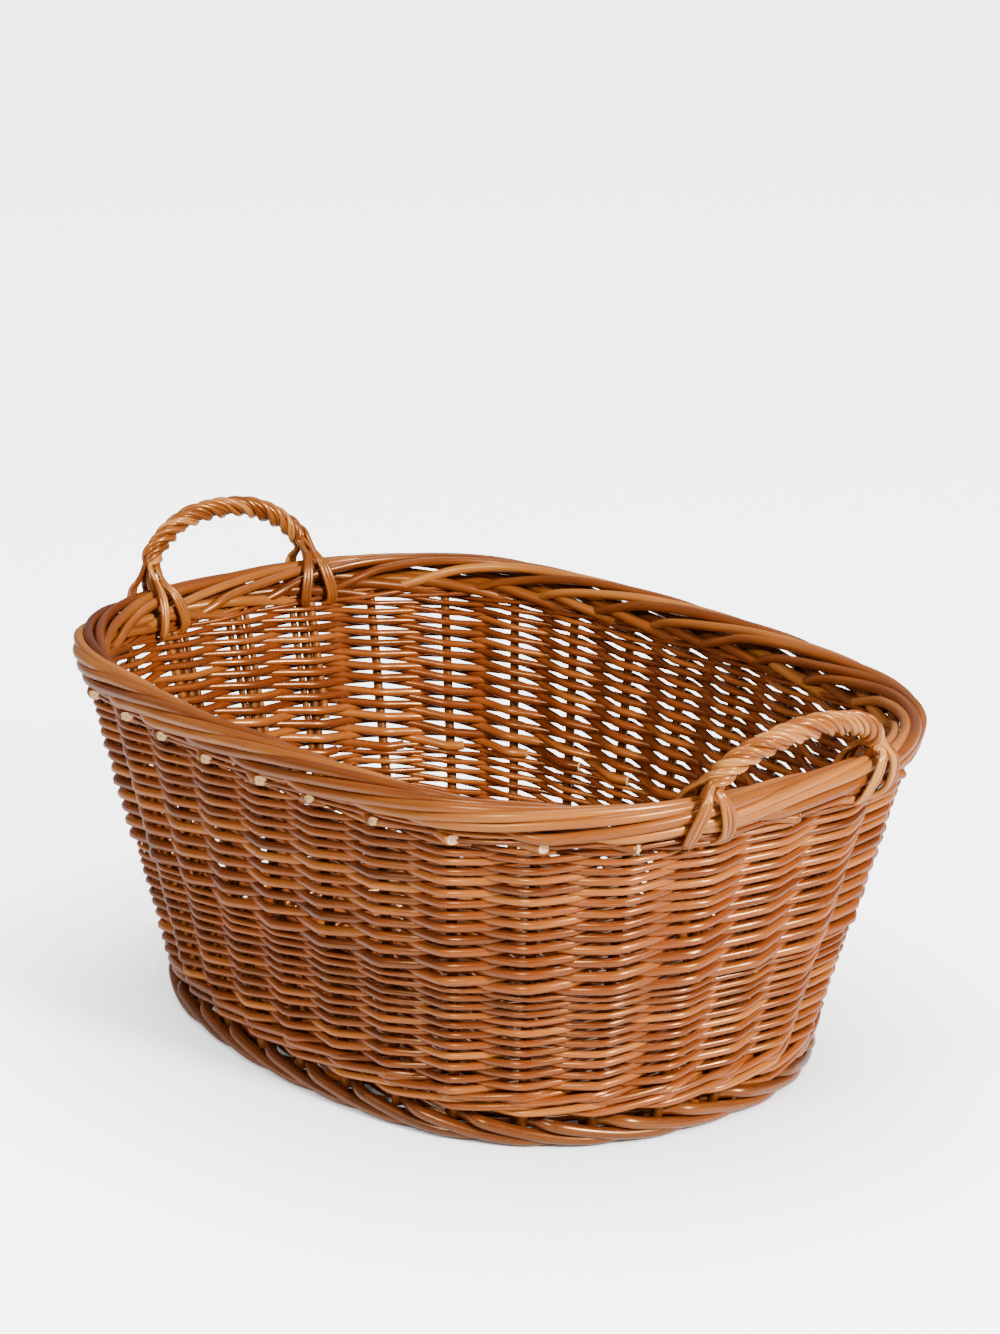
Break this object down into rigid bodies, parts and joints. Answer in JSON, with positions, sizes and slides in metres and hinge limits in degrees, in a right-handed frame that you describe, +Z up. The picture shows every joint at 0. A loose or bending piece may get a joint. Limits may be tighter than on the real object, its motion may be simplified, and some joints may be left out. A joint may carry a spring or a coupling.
{
  "type": "oval log basket",
  "caption": "Flared oval willow log basket with a randed wall in bands, a rolled rod border, a woven base and a roped handle arching over each end.",
  "frame": {"origin": "centre of the footprint, on the floor plane", "axes": "+X along the basket's length towards one handle, +Y across its width, +Z up"},
  "size_m": [0.7154, 0.4858, 0.3345],
  "materials": {
    "willow_foot": "satin, buff willow rods, darkened by handling",
    "willow_weave": "satin buff willow weavers, warm orange brown, darker in the gaps",
    "willow_border": "satin buff willow, lighter and more golden than the wall, with pale cut ends",
    "willow_handle": "satin buff willow, golden",
    "willow_stick": "satin buff willow sticks"
  },
  "bodies": {
    "root": {"foot_rod_lower_outer": "willow_foot", "foot_rod_lower_inner": "willow_foot", "foot_rod_upper": "willow_foot", "base_weave": "willow_weave", "base_stick_long_1": "willow_stick", "base_stick_long_2": "willow_stick", "base_stick_long_3": "willow_stick", "base_stick_cross_1": "willow_stick", "base_stick_cross_2": "willow_stick", "base_stick_cross_3": "willow_stick", "base_stick_cross_4": "willow_stick", "base_stick_cross_5": "willow_stick", "base_stick_cross_6": "willow_stick", "base_stick_cross_7": "willow_stick", "upsett_rod_1": "willow_weave", "upsett_rod_2": "willow_weave", "upsett_rod_inner": "willow_weave", "lower_rand_outer": "willow_weave", "lower_rand_inner": "willow_weave", "upper_rand_outer": "willow_weave", "upper_rand_inner": "willow_weave", "top_wale": "willow_weave", "border_outer_rods": "willow_border", "border_inner_rods": "willow_border", "handle_left_bow": "willow_handle", "handle_left_rope": "willow_handle", "handle_right_bow": "willow_handle", "handle_right_rope": "willow_handle", "bye_stakes": "willow_stick", "stake_1": "willow_stick", "stake_2": "willow_stick", "stake_3": "willow_stick", "stake_4": "willow_stick", "stake_5": "willow_stick", "stake_6": "willow_stick", "stake_7": "willow_stick", "stake_8": "willow_stick", "stake_9": "willow_stick", "stake_10": "willow_stick", "stake_11": "willow_stick", "stake_12": "willow_stick", "stake_13": "willow_stick", "stake_14": "willow_stick", "stake_15": "willow_stick", "stake_16": "willow_stick", "stake_17": "willow_stick", "stake_18": "willow_stick", "stake_19": "willow_stick", "stake_20": "willow_stick", "stake_21": "willow_stick", "stake_22": "willow_stick", "stake_23": "willow_stick", "stake_24": "willow_stick", "stake_25": "willow_stick", "stake_26": "willow_stick", "stake_27": "willow_stick", "stake_28": "willow_stick", "stake_29": "willow_stick", "stake_30": "willow_stick"}
  },
  "joints": []
}
